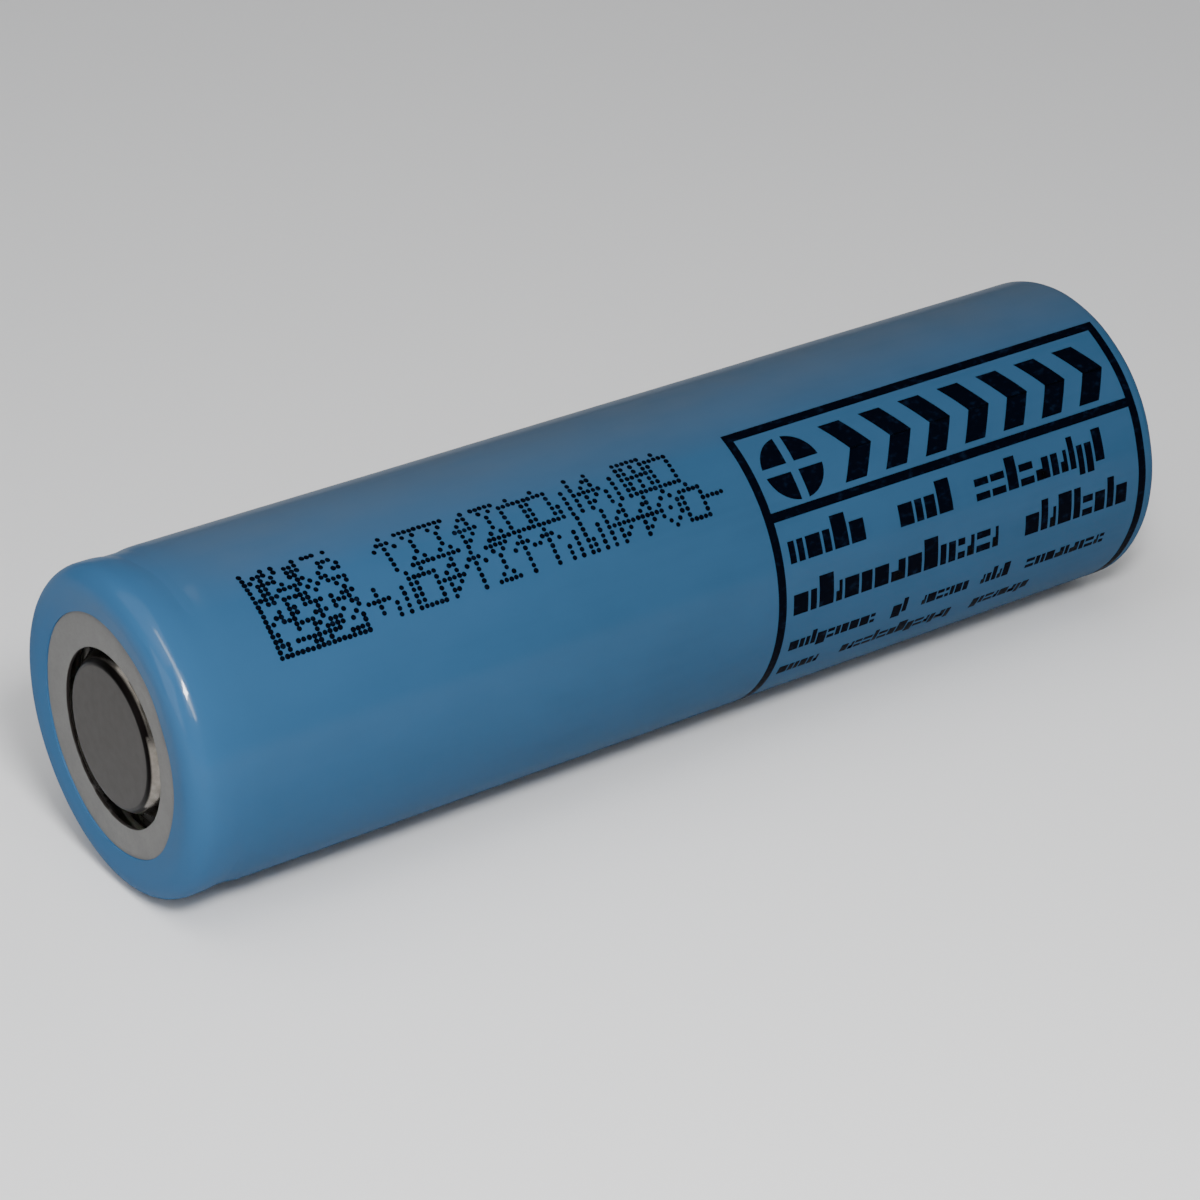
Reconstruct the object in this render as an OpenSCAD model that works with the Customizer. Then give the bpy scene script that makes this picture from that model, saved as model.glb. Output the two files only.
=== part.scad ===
// Cylindrical lithium-ion cell with a flat top, in its shrink sleeve.
// The cell lies on its side: its axis runs along X, the positive end faces -X, and +Z is up.
// The origin is on the line that the cell rests on, under its middle.
// Each sub-part is drawn standing on its negative end, at z = 0, and lay() lays it down.

/* [Cell] */
// Diameter over the shrink sleeve
cell_d = 18.35; // [18.25:0.05:18.45]
// Length over the sleeve's two lips
cell_l = 65.1; // [64.5:0.1:65.5]

/* [Shrink sleeve] */
// Thickness of the film
film_t = 0.1; // [0.08:0.01:0.12]
// Radius of the opening in the lip at the positive end
sleeve_top_r = 6.7; // [6.4:0.05:7]
// Radius of the opening in the lip at the negative end
sleeve_bottom_r = 7.3; // [7:0.05:7.6]
// Rounding of the sleeve's edge at the positive end
top_round = 1.3; // [1.25:0.01:1.35]
// Rounding of the sleeve's edge at the negative end
bottom_round = 0.6; // [0.55:0.01:0.7]
// How far the film sinks over the can's groove
waist_depth = 0.14; // [0.06:0.02:0.2]
// Length of the sunk stretch of film
waist_l = 2.4; // [2:0.1:2.8]
// How far the lip sinks inside the rim at the positive end
lip_drop = 0.12; // [0.1:0.01:0.14]

/* [Can] */
// Thickness of the can's wall
can_wall = 0.2; // [0.18:0.01:0.22]
// Thickness of the can's floor
can_floor = 0.3; // [0.28:0.01:0.32]
// Distance from the positive end to the middle of the groove
groove_from_top = 3.2; // [3.15:0.05:3.25]
// Width of the groove at its mouth
groove_w = 0.7; // [0.6:0.05:0.8]
// Radius of the groove's floor
groove_r = 7.9; // [7.8:0.05:8]
// Radius of the hole inside the crimped rim
crimp_r = 7; // [6.9:0.05:7.1]
// Radius of the ring stamped around the negative terminal's face
stamp_r = 6.4; // [6:0.1:6.6]

/* [Positive end] */
// Radius of the terminal's flat top
button_r = 4; // [3.8:0.05:4.1]
// Distance from the end of the cell back to the terminal's flat top
button_inset = 0.13; // [0.08:0.01:0.2]
// Thickness of the cap's sheet
cap_t = 0.45; // [0.4:0.01:0.5]
// Radius of the hole in the insulator ring
ring_hole_r = 4.95; // [4.9:0.01:5.2]
// Thickness of the insulator ring
ring_t = 0.2; // [0.18:0.01:0.22]
// Thickness of the burst disc's sheet
disc_t = 0.38; // [0.35:0.01:0.4]
// Number of legs, and of vent windows, around the terminal
leg_count = 3; // [3:1:4]
// Share of the circle that the windows take
window_share = 0.35; // [0.3:0.05:0.6]
// Turn of the first leg about the cell's axis, in degrees
leg_turn = 15; // [-60:1:60]

/* [Winding] */
// Radius of the hole down the middle of the winding
core_r = 1.85; // [1.6:0.05:1.85]
// Half turns from the first separator to the last
half_turns = 32; // [28:2:32]
// Thickness of each foil and each separator
foil_t = 0.02; // [0.015:0.001:0.02]
// Thickness of the cathode's coating on each side
cathode_t = 0.08; // [0.075:0.001:0.08]
// Thickness of the anode's coating on each side
anode_t = 0.09; // [0.08:0.001:0.09]

/* [Tabs] */
// Width of both tabs
tab_w = 4; // [3:0.5:4]
// Thickness of both tabs
tab_t = 0.06; // [0.05:0.01:0.06]

/* [Hidden] */
$fn = 144;

// Colours
film_blue = [0.25, 0.47, 0.62];
fibre_white = [0.86, 0.86, 0.84];
nickel_steel = [0.66, 0.66, 0.65];
aluminium = [0.78, 0.79, 0.8];
copper = [0.78, 0.45, 0.3];
nickel = [0.7, 0.69, 0.65];
clear_plastic = [0.88, 0.88, 0.84];
black_oxide = [0.1, 0.1, 0.11];
graphite = [0.2, 0.2, 0.21];
tape_amber = [0.75, 0.5, 0.15];

// Sleeve and can
cell_r = cell_d / 2;
floor_z = film_t + can_floor;
groove_z = cell_l - groove_from_top;
groove_axis_r = groove_r + groove_w / 2;
waist_r = (pow(waist_l / 2, 2) + pow(waist_depth, 2)) / (2 * waist_depth);
rim_w = 0.3;
ring_r = 7.45;
rim_seat_r = ring_r + 0.05;
stamp_w = 0.3;
stamp_depth = 0.05;

// Heights of the stack under the crimped rim, from the top down
ring_z = cell_l - lip_drop - film_t - ring_t;
gasket_top_z = ring_z - can_wall;
gasket_lip_t = 0.42;
stack_top_z = gasket_top_z - gasket_lip_t;
flange_top_z = stack_top_z - disc_t;
flange_z = flange_top_z - cap_t;
stack_z = flange_z - disc_t;
bead_top_z = groove_z + groove_w / 2 + can_wall;
stack_r = 8.5;
gasket_top_r = 6.6;
gasket_bottom_r = 6.3;

// Positive cap
button_z = cell_l - button_inset;
button_edge = 0.25;
leg_foot_r = button_r + 1;
fold_t = 0.35;
flange_r = stack_r - fold_t;
fold_lip_r = 7.2;

// Burst disc and contact plate
dish_r = 5.3;
dish_depth = 0.6;
membrane_t = 0.3;
membrane_z = stack_z - dish_depth;
nipple_drop = 0.45;
nipple_tip_r = 0.6;
nipple_root_r = 1.2;
score_r = 3.6;
score_w = 0.3;
score_depth = 0.15;
plate_top_z = membrane_z - nipple_drop;
plate_t = 0.45;
plate_z = plate_top_z - plate_t;
plate_r = 5.5;
plate_hole_r = 0.6;
plate_hole_circle_r = 3.3;
holder_r = 6.2;
holder_clip_t = 0.2;
holder_clip_r = 5.25;
holder_shelf_r = 4.4;

// Winding: one turn holds two separators, the anode and the cathode
pitch = 2 * anode_t + 2 * cathode_t + 4 * foil_t;
anode_inner_at = foil_t;
anode_foil_at = anode_inner_at + anode_t;
anode_outer_at = anode_foil_at + foil_t;
outer_separator_at = anode_outer_at + anode_t;
cathode_inner_at = outer_separator_at + foil_t;
cathode_foil_at = cathode_inner_at + cathode_t;
cathode_outer_at = cathode_foil_at + foil_t;
last_turn = half_turns - 1;
anode_first = 1;
cathode_first = 2;
cathode_last = last_turn - 2;
disc_thin_t = 0.2;
disc_thick_t = 0.3;
disc_gap = 0.05;
floor_gap = 0.1;
bead_gap = 0.85;
lower_disc_z = floor_z + floor_gap;
lower_disc_r = 8.3;
winding_z = lower_disc_z + disc_thin_t + disc_gap;
upper_disc_z = groove_z - groove_w / 2 - can_wall - bead_gap;
upper_disc_r = 8.6;
winding_top_z = upper_disc_z - disc_gap;
anode_margin = 0.6;
cathode_margin = 1.1;
closing_tape_t = 0.05;
closing_tape_margin = 3;
disc_hole_r = 1.6;
gas_hole_r = 0.9;
gas_hole_circle_r = 6.4;

// Tabs: each lies on bare foil in the middle of one half turn
positive_turn = 10;
negative_turn = last_turn - 2;
bare_w = 6;
slot_w = 5;
tape_w = 5.4;
tape_t = 0.02;
tab_past_axis = 1.5;
tab_foot = 3;
positive_tab_z = winding_z + cathode_margin + tab_foot;
negative_tab_top_z = winding_top_z - anode_margin - tab_foot;
cut = 0.01;

// Lays a standing cell down along X, with its positive end towards -X.
module lay() {
    translate([0, 0, cell_r]) rotate([0, -90, 0]) translate([0, 0, -cell_l / 2]) children();
}

// Half outline of a solid drum with rounded edges.
module drum(r, low_z, high_z, low_round, high_round) {
    translate([0, low_z + low_round]) square([r, high_z - low_z - low_round - high_round]);
    translate([0, low_z]) square([r - low_round, low_round]);
    translate([r - low_round, low_z + low_round]) circle(low_round);
    translate([0, high_z - high_round]) square([r - high_round, high_round]);
    translate([r - high_round, high_z - high_round]) circle(high_round);
}

// Half outline of the dished space inside the rim at the positive end.
module dish(z, flat_r, edge_z) {
    polygon([
        [0, z], [flat_r, z], [flat_r + rim_w, edge_z], [flat_r + rim_w, cell_l + 1], [0, cell_l + 1]
    ]);
}

// Half outline of the cell's body moved inwards by a depth, with its waist over the groove and the
// dish inside its rim. The film lies between depths 0 and film_t, and the can's wall inside that.
module body_outline(depth, low_z, dish_z, dish_r) {
    difference() {
        drum(cell_r - depth, low_z, cell_l - depth, bottom_round - depth, top_round - depth);
        translate([cell_r - waist_depth + waist_r, groove_z]) circle(waist_r + depth);
        dish(dish_z, dish_r, cell_l - depth);
    }
}

// Half outline of the can's groove, or of the bead that it makes inside when grown by the wall.
module groove_outline(half_w) {
    translate([groove_axis_r, groove_z]) circle(half_w);
    translate([groove_axis_r, groove_z - half_w]) square([cell_r, 2 * half_w]);
}

// Half outline of the space inside the can, up to the underside of its crimped rim.
module bore_outline() {
    difference() {
        body_outline(film_t + can_wall, floor_z, gasket_top_z, rim_seat_r + can_wall / 2);
        groove_outline(groove_w / 2 + can_wall);
    }
}

// Length of arc turned into degrees at a radius.
function arc_angle(width, r) = width / r * 180 / PI;

// Side on which a half turn of the winding lies, and the middle of its half circle.
function is_even(turn) = turn % 2 == 0;
function turn_middle(turn) = is_even(turn) ? 90 : 270;
function turn_axis_x(turn) = (is_even(turn) ? -1 : 1) * pitch / 4;
function turn_r(turn, offset) = core_r + offset + turn * pitch / 2;

// Stretch of a wound layer, centred in the middle of a half turn.
module wound_wall(turn, offset, thickness, angle, low_z, high_z) {
    translate([turn_axis_x(turn), 0, low_z])
        rotate([0, 0, turn_middle(turn) - angle / 2])
            rotate_extrude(angle = angle)
                translate([turn_r(turn, offset), 0]) square([thickness, high_z - low_z]);
}

// Wound layer: half rings about two axes, each half a pitch larger than the last, join into a spiral.
module wound_layer(offset, thickness, first, last, margin = 0) {
    for (turn = [first:last])
        wound_wall(turn, offset, thickness, 180, winding_z + margin, winding_top_z - margin);
}

// Wound coating, left off the foil where a tab is welded to it.
module wound_coating(offset, thickness, first, last, margin, bare_turn) {
    bare_angle = arc_angle(bare_w, turn_r(bare_turn, offset));
    difference() {
        wound_layer(offset, thickness, first, last, margin);
        wound_wall(
            bare_turn, offset - cut, thickness + 2 * cut, bare_angle,
            winding_z + margin - cut, winding_top_z - margin + cut
        );
    }
}

// Tab: a strip that stands along the curve of the winding and is folded flat to past the cell's axis.
module tab(turn, offset, low_z, high_z, end_z) {
    inner_r = turn_r(turn, offset);
    translate([turn_axis_x(turn), 0, 0]) rotate([0, 0, turn_middle(turn)]) intersection() {
        rotate_extrude() {
            translate([inner_r, low_z]) square([tab_t, high_z - low_z]);
            translate([0, end_z]) square([inner_r + tab_t, tab_t]);
        }
        translate([-tab_past_axis, -tab_w / 2, 0]) cube([cell_d, tab_w, cell_l]);
    }
}

// Slot in an insulator disc for a tab to pass through.
module tab_slot(turn, offset, low_z, high_z) {
    slot_t = 0.4;
    slot_angle = arc_angle(slot_w, turn_r(turn, offset));
    wound_wall(turn, offset - slot_t / 2, slot_t, slot_angle, low_z - cut, high_z + cut);
}

module shrink_sleeve() {
    color(film_blue) lay() rotate_extrude() difference() {
        body_outline(0, 0, cell_l - lip_drop, ring_r);
        body_outline(film_t, film_t, ring_z + ring_t, ring_r);
        square([sleeve_bottom_r, cell_l / 2]);
        translate([0, cell_l / 2]) square([sleeve_top_r, cell_l]);
    }
}

module top_insulator_ring() {
    color(fibre_white) lay() rotate_extrude()
        translate([ring_hole_r, ring_z]) square([ring_r - ring_hole_r, ring_t]);
}

module steel_can() {
    color(nickel_steel) lay() rotate_extrude() difference() {
        body_outline(film_t, film_t, ring_z, rim_seat_r);
        groove_outline(groove_w / 2);
        bore_outline();
        translate([0, gasket_top_z - cut]) square([crimp_r, cell_l]);
        translate([stamp_r - stamp_w / 2, 0]) square([stamp_w, film_t + stamp_depth]);
    }
}

module crimp_gasket() {
    color(clear_plastic) lay() rotate_extrude() difference() {
        intersection() {
            bore_outline();
            translate([0, bead_top_z]) square([cell_r, cell_l]);
        }
        translate([0, stack_z]) square([stack_r, stack_top_z - stack_z]);
        translate([0, stack_top_z - cut]) square([gasket_top_r, cell_l]);
        translate([0, bead_top_z - cut]) square([gasket_bottom_r, stack_z - bead_top_z + 2 * cut]);
    }
}

// Half outline of the cap's outside, or of its inside when sunk by the sheet's thickness.
module cap_outline(depth) {
    top = button_z - depth;
    edge = max(button_edge - depth, 0.05);
    polygon([
        [0, flange_z], [leg_foot_r - depth, flange_z], [leg_foot_r - depth, flange_top_z - depth],
        [button_r - depth, top - edge], [button_r - depth - edge, top], [0, top]
    ]);
    translate([button_r - depth - edge, top - edge]) circle(edge);
}

module positive_cap() {
    window_angle = 360 / leg_count * window_share;
    window_top_z = button_z - cap_t;
    color(nickel_steel) lay() difference() {
        rotate_extrude() difference() {
            union() {
                cap_outline(0);
                translate([0, flange_z]) square([flange_r, cap_t]);
            }
            cap_outline(cap_t);
        }
        for (leg = [0:leg_count - 1])
            rotate([0, 0, leg_turn + (leg + 0.5) * 360 / leg_count - window_angle / 2])
                rotate_extrude(angle = window_angle)
                    translate([button_r - 1, flange_top_z])
                        square([leg_foot_r - button_r + 2, window_top_z - flange_top_z]);
    }
}

module burst_disc() {
    color(aluminium) lay() rotate_extrude() difference() {
        union() {
            translate([0, stack_z]) square([stack_r, disc_t]);
            translate([stack_r - fold_t, stack_z]) square([fold_t, stack_top_z - stack_z]);
            translate([fold_lip_r, flange_top_z]) square([stack_r - fold_lip_r, disc_t]);
            translate([0, membrane_z]) square([dish_r, dish_depth + disc_t]);
            polygon([
                [0, plate_top_z], [nipple_tip_r, plate_top_z],
                [nipple_root_r, membrane_z], [0, membrane_z]
            ]);
        }
        translate([0, membrane_z + membrane_t]) square([dish_r - membrane_t, dish_depth + disc_t]);
        translate([score_r - score_w / 2, membrane_z + membrane_t - score_depth])
            square([score_w, 2 * score_depth]);
        polygon([
            [0, plate_top_z + membrane_t], [nipple_tip_r / 2, plate_top_z + membrane_t],
            [nipple_root_r - membrane_t / 2, membrane_z + membrane_t + cut],
            [0, membrane_z + membrane_t + cut]
        ]);
    }
}

module cid_insulator() {
    holder_z = plate_z - holder_clip_t;
    color(clear_plastic) lay() rotate_extrude() difference() {
        translate([holder_shelf_r, holder_z]) square([holder_r - holder_shelf_r, stack_z - holder_z]);
        translate([0, membrane_z]) square([dish_r, dish_depth + cut]);
        translate([0, plate_z]) square([plate_r, plate_t]);
        translate([0, holder_z - cut]) square([holder_clip_r, holder_clip_t + 2 * cut]);
    }
}

module cid_plate() {
    weld_r = 1;
    weld_depth = 0.25;
    color(aluminium) lay() difference() {
        translate([0, 0, plate_z]) cylinder(r = plate_r, h = plate_t);
        translate([0, 0, plate_top_z - weld_depth]) difference() {
            cylinder(r = weld_r + 0.5, h = plate_t);
            translate([0, 0, -cut]) cylinder(r = weld_r, h = plate_t + 2 * cut);
        }
        for (turn = [180:45:360])
            rotate([0, 0, turn]) translate([plate_hole_circle_r, 0, plate_z - cut])
                cylinder(r = plate_hole_r, h = plate_t + 2 * cut);
    }
}

// Tape over a tab, along the curve of the winding.
module tab_tape(turn, offset, low_z, high_z) {
    tape_angle = arc_angle(tape_w, turn_r(turn, offset));
    wound_wall(turn, offset + tab_t, tape_t, tape_angle, low_z, high_z);
}

module positive_tab() {
    color(aluminium) lay()
        tab(positive_turn, cathode_outer_at, positive_tab_z, plate_z, plate_z - tab_t);
}

module positive_tab_tape() {
    color(tape_amber) lay() tab_tape(
        positive_turn, cathode_outer_at, positive_tab_z, winding_top_z - cathode_margin / 2
    );
}

module upper_insulator_disc() {
    color(fibre_white) lay() difference() {
        translate([0, 0, upper_disc_z]) cylinder(r = upper_disc_r, h = disc_thick_t);
        translate([0, 0, upper_disc_z - cut]) cylinder(r = disc_hole_r, h = disc_thick_t + 2 * cut);
        for (turn = [0:60:300])
            rotate([0, 0, turn]) translate([gas_hole_circle_r, 0, upper_disc_z - cut])
                cylinder(r = gas_hole_r, h = disc_thick_t + 2 * cut);
        tab_slot(positive_turn, cathode_outer_at, upper_disc_z, upper_disc_z + disc_thick_t);
    }
}

module inner_separator() {
    color(clear_plastic) lay() wound_layer(0, foil_t, 0, last_turn);
}

module anode_coating_inner() {
    color(graphite) lay()
        wound_coating(anode_inner_at, anode_t, anode_first, last_turn, anode_margin, negative_turn);
}

module anode_foil() {
    color(copper) lay() wound_layer(anode_foil_at, foil_t, anode_first, last_turn, anode_margin);
}

module anode_coating_outer() {
    color(graphite) lay()
        wound_coating(anode_outer_at, anode_t, anode_first, last_turn, anode_margin, negative_turn);
}

module outer_separator() {
    color(clear_plastic) lay() wound_layer(outer_separator_at, foil_t, 0, last_turn);
}

module cathode_coating_inner() {
    color(black_oxide) lay() wound_coating(
        cathode_inner_at, cathode_t, cathode_first, cathode_last, cathode_margin, positive_turn
    );
}

module cathode_foil() {
    color(aluminium) lay()
        wound_layer(cathode_foil_at, foil_t, cathode_first, cathode_last, cathode_margin);
}

module cathode_coating_outer() {
    color(black_oxide) lay() wound_coating(
        cathode_outer_at, cathode_t, cathode_first, cathode_last, cathode_margin, positive_turn
    );
}

module roll_closing_tape() {
    color(tape_amber) lay() wound_layer(
        cathode_inner_at, closing_tape_t, cathode_last + 1, last_turn, closing_tape_margin
    );
}

module negative_tab() {
    color(nickel) lay() tab(negative_turn, anode_outer_at, floor_z, negative_tab_top_z, floor_z);
}

module negative_tab_tape() {
    color(tape_amber) lay()
        tab_tape(negative_turn, anode_outer_at, winding_z + anode_margin / 2, negative_tab_top_z);
}

module lower_insulator_disc() {
    color(fibre_white) lay() difference() {
        translate([0, 0, lower_disc_z]) cylinder(r = lower_disc_r, h = disc_thin_t);
        translate([0, 0, lower_disc_z - cut]) cylinder(r = disc_hole_r, h = disc_thin_t + 2 * cut);
        tab_slot(negative_turn, anode_outer_at, lower_disc_z, lower_disc_z + disc_thin_t);
    }
}

shrink_sleeve();
top_insulator_ring();
steel_can();
crimp_gasket();
positive_cap();
burst_disc();
cid_insulator();
cid_plate();
positive_tab();
positive_tab_tape();
upper_insulator_disc();
inner_separator();
anode_coating_inner();
anode_foil();
anode_coating_outer();
outer_separator();
cathode_coating_inner();
cathode_foil();
cathode_coating_outer();
roll_closing_tape();
negative_tab();
negative_tab_tape();
lower_insulator_disc();
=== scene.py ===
"""The looks of a cylindrical battery cell that lies on its side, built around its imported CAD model.

Everything is in metres in the row frame: the cell's axis runs along X, its positive end faces -X and
+Z is up. Around the cell, an angle is counted in degrees from the top towards the front (-Y). Along it,
u is the distance from the plane of the positive end.
"""

import math
import random

import bmesh
import bpy
from mathutils import Matrix, Vector


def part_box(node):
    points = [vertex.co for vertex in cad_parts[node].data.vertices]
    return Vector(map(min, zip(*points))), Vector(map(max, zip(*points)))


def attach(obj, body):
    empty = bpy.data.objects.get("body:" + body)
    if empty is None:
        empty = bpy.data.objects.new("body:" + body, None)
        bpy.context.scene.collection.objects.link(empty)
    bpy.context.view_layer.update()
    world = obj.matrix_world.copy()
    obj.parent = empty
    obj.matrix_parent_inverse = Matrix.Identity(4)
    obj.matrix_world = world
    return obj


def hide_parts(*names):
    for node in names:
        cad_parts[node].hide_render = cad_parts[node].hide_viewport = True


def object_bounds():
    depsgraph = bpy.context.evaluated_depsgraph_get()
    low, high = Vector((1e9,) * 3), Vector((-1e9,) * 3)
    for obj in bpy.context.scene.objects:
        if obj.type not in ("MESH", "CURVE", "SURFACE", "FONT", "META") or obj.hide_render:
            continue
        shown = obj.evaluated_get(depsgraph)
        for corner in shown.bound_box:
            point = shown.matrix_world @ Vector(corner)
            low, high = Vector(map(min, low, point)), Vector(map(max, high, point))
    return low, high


MM = 0.001

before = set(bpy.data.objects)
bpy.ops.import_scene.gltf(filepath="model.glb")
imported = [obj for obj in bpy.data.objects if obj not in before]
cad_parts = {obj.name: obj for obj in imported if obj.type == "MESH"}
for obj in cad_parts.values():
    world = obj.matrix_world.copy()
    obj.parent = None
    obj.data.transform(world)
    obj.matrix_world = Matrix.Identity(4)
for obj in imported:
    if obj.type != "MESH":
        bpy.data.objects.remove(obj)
cad_low, cad_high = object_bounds()

# The cell's overall size, from the CAD box
CELL_R = (cad_high.z - cad_low.z) / 2
CELL_L = cad_high.x - cad_low.x
END_X = cad_low.x
AXIS_Z = cad_low.z + CELL_R

# Sizes of the CAD parts
FILM_T = 0.1 * MM
CAN_WALL = 0.2 * MM
CAN_FLOOR = 0.3 * MM
TOP_ROUND = 1.3 * MM
BOTTOM_ROUND = 0.6 * MM
RIM_R = 7.75 * MM
RING_R = 7.45 * MM
LIP_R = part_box("top_insulator_ring")[1].z - AXIS_Z - 0.75 * MM
BOTTOM_LIP_R = 7.3 * MM
LIP_DROP = 0.12 * MM
RING_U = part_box("top_insulator_ring")[0].x - END_X
RING_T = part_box("top_insulator_ring")[1].x - END_X - RING_U
RING_HOLE_R = 4.95 * MM
RING_HOLE_OFF = 0.18 * MM
RING_HOLE_TURN = 105
GROOVE_U = 3.2 * MM
GROOVE_HALF_W = 0.35 * MM
GROOVE_R = 7.9 * MM
WAIST_DEPTH = 0.14 * MM
WAIST_HALF_L = 1.35 * MM
CRIMP_R = 7 * MM
BUTTON_R = 4 * MM
BUTTON_EDGE = 0.25 * MM
CAP_T = 0.45 * MM
CAP_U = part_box("positive_cap")[0].x - END_X
FLANGE_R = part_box("positive_cap")[1].z - AXIS_Z
FLANGE_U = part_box("positive_cap")[1].x - END_X - CAP_T
LEG_FOOT_R = 5 * MM
LEG_COUNT = 3
LEG_TURN = 105
WINDOW_SHARE = 0.35
STAMP_R = 6.4 * MM

# The lay-flat creases that a shrink tube keeps from its reel, in degrees around the cell
CREASES = (52, 232)


# ---------------------------------------------------------------- camera, floor and lights


def add_camera():
    """The camera, at the angle and distance from which the whole cell shows a little left of centre."""
    azimuth, elevation = math.radians(-35.728), math.radians(27.443)
    distance = 0.215145
    aim_right, aim_up = -0.921 * MM, -1.673 * MM
    level = math.cos(elevation)
    back = Vector((math.sin(azimuth) * level, -math.cos(azimuth) * level, math.sin(elevation)))
    right = Vector((math.cos(azimuth), math.sin(azimuth), 0))
    up = back.cross(right)
    middle = Vector((0, 0, AXIS_Z))
    data = bpy.data.cameras.new("camera")
    data.sensor_width = 36
    data.lens = 114.675
    data.clip_start = 0.01
    data.clip_end = 10
    camera = bpy.data.objects.new("camera", data)
    camera.location = middle + back * distance
    aim = middle + right * aim_right + up * aim_up
    camera.rotation_mode = "QUATERNION"
    camera.rotation_quaternion = (aim - camera.location).to_track_quat("-Z", "Y")
    bpy.context.scene.collection.objects.link(camera)
    bpy.context.scene.camera = camera


def add_light(name, place, size, power, colour=(1, 1, 1)):
    """A square soft light that faces the cell."""
    data = bpy.data.lights.new(name, "AREA")
    data.shape = "SQUARE"
    data.size = size
    data.energy = power
    data.color = colour
    light = bpy.data.objects.new(name, data)
    light.location = place
    light.rotation_mode = "QUATERNION"
    light.rotation_quaternion = (Vector((0, 0, AXIS_Z)) - light.location).to_track_quat("-Z", "Y")
    bpy.context.scene.collection.objects.link(light)


def add_strip(name, low_end, high_end, width, power):
    """A narrow light between two places that faces the cell."""
    middle = (low_end + high_end) / 2
    z_axis = (middle - Vector((0, 0, AXIS_Z))).normalized()
    side = high_end - low_end
    y_axis = (side - z_axis * side.dot(z_axis)).normalized()
    data = bpy.data.lights.new(name, "AREA")
    data.shape = "RECTANGLE"
    data.size = width
    data.size_y = side.length
    data.energy = power
    light = bpy.data.objects.new(name, data)
    turned = Matrix((y_axis.cross(z_axis), y_axis, z_axis)).transposed()
    light.matrix_world = Matrix.Translation(middle) @ turned.to_4x4()
    bpy.context.scene.collection.objects.link(light)


def add_lights():
    """Soft light from in front and above, and a narrow strip and a small lamp for the sharp highlight."""
    add_light("key", Vector((-0.14, -0.42, 0.42)), 0.36, 0.6, (1, 0.985, 0.96))
    add_light("top", Vector((-0.3, 0.1, 0.85)), 1.0, 4.0)
    add_light("face", Vector((-0.35, -0.05, 0.12)), 0.2, 0.36)
    add_strip("spark", Vector((-0.056, -0.121, 0.109)), Vector((-0.065, -0.102, 0.126)), 0.04, 0.25)
    add_strip("strip", Vector((-0.0625, -0.2228, 0.1161)), Vector((-0.0704, -0.0114, 0.2539)), 0.04, 0.18)
    world = bpy.data.worlds.new("studio")
    world.use_nodes = True
    background = world.node_tree.nodes["Background"]
    background.inputs["Color"].default_value = (0.8, 0.85, 0.9, 1)
    background.inputs["Strength"].default_value = 0.13
    bpy.context.scene.world = world


def add_floor():
    """A plain pale floor that curves up into a round wall, so that low views have no horizon."""
    flat_r, wall_r, wall_h = 1.0, 1.4, 1.2
    steps = 24
    profile = [(0.02, 0), (0.2, 0), (flat_r, 0)]
    for step in range(1, steps + 1):
        turn = math.radians(90 * step / steps)
        rise = (wall_r - flat_r) * (1 - math.cos(turn))
        profile.append((flat_r + (wall_r - flat_r) * math.sin(turn), rise))
    profile.append((wall_r, wall_h))
    count = 96
    vertices = [(0, 0, 0)]
    for r, z in profile:
        for k in range(count):
            turn = 2 * math.pi * k / count
            vertices.append((r * math.cos(turn), r * math.sin(turn), z))
    faces = [(0, 1 + k, 1 + (k + 1) % count) for k in range(count)]
    for ring in range(len(profile) - 1):
        for k in range(count):
            a, b = 1 + ring * count + k, 1 + ring * count + (k + 1) % count
            faces.append((a, a + count, b + count, b))
    mesh = bpy.data.meshes.new("floor")
    mesh.from_pydata(vertices, [], faces)
    mesh.shade_smooth()
    floor = bpy.data.objects.new("floor", mesh)
    floor.data.materials.append(floor_material())
    bpy.context.scene.collection.objects.link(floor)


# ---------------------------------------------------------------- material tools


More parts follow.
